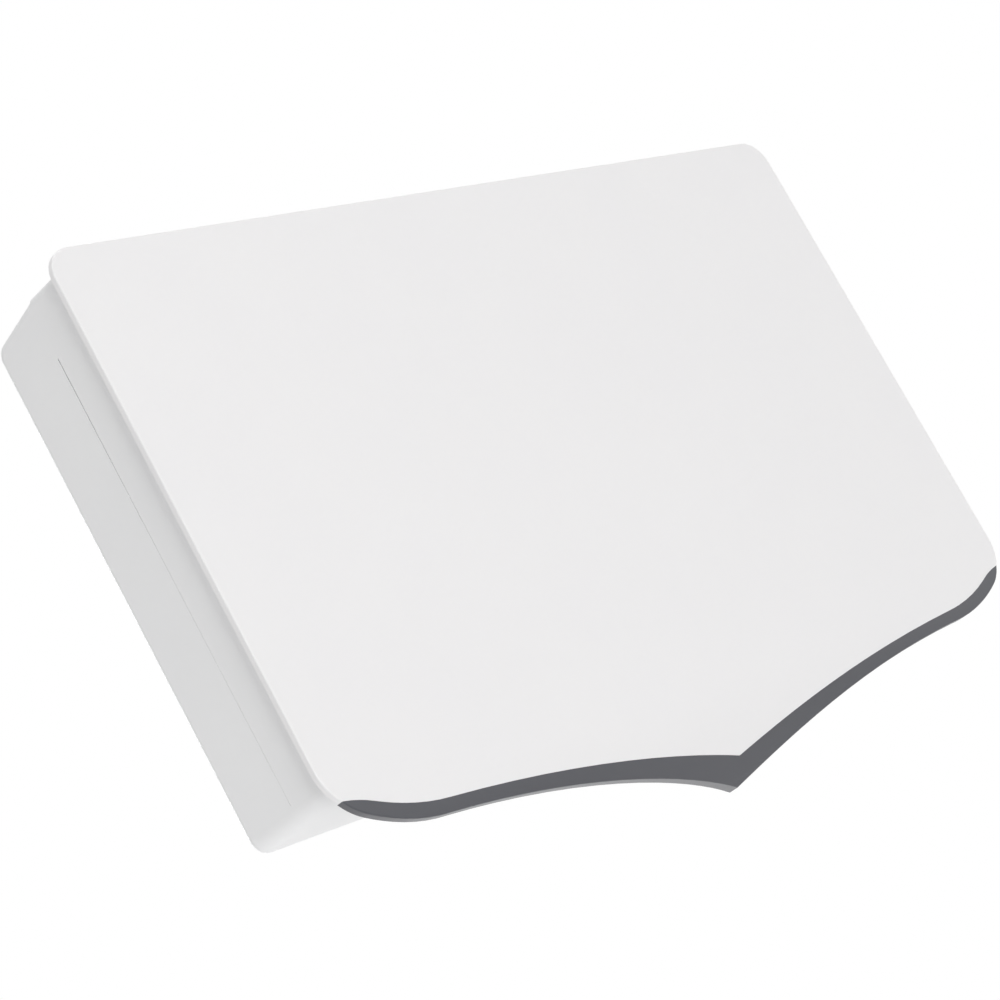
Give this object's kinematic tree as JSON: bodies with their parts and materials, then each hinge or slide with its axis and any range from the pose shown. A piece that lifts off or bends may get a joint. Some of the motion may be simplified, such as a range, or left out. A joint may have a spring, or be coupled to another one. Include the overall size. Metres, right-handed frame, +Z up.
{
  "type": "flat satellite antenna",
  "caption": "Flat panel satellite antenna: shallow case, smooth front cover with a dark pointed lower edge strip, horn array and converter inside, cable ports below, rear mounting threads.",
  "frame": {"origin": "centre of the four mounting threads, on the face of the raised pad at the back", "axes": "+X to the antenna's left side as seen from behind (right as seen from the front), +Y out of the back, so the aperture looks along -Y, +Z up"},
  "size_m": [0.5, 0.0605, 0.309],
  "materials": {
    "white_plastic": "smooth satin moulding, weather-proof white",
    "case_plastic": "fine-grained satin moulding, off-white",
    "grey_plastic": "dark grey satin moulding",
    "black_plastic": "moulded",
    "seal_rubber": "soft moulded rubber",
    "steel_screw": "zinc-plated",
    "plated_steel": "zinc-plated",
    "cast_aluminium": "die-cast, bare",
    "circuit_board": "green solder mask",
    "brass_pin": "turned",
    "nickel_brass": "nickel-plated brass, turned",
    "insulator_plastic": "white moulded insulator"
  },
  "bodies": {
    "root": {"radome_cover": "white_plastic", "chin_strip": "grey_plastic", "front_frame": "case_plastic", "rear_cover": "case_plastic", "case_seal": "seal_rubber", "cover_screws": "steel_screw", "case_screws": "steel_screw", "vent_plug": "black_plastic", "horn_plate": "cast_aluminium", "array_screws": "steel_screw", "feed_layer_front": "cast_aluminium", "feed_layer_rear": "cast_aluminium", "feed_lid": "cast_aluminium", "layer_screws": "steel_screw", "lnb_tub": "cast_aluminium", "lnb_board": "circuit_board", "lnb_probes": "brass_pin", "lnb_lid": "cast_aluminium", "lnb_lid_screws": "steel_screw", "lnb_ear_screws": "steel_screw", "port_bodies": "nickel_brass", "port_insulators": "insulator_plastic", "port_seals": "seal_rubber", "port_nuts": "nickel_brass", "mount_plate": "plated_steel", "mount_bushes": "plated_steel", "plate_screws": "steel_screw"}
  },
  "joints": []
}
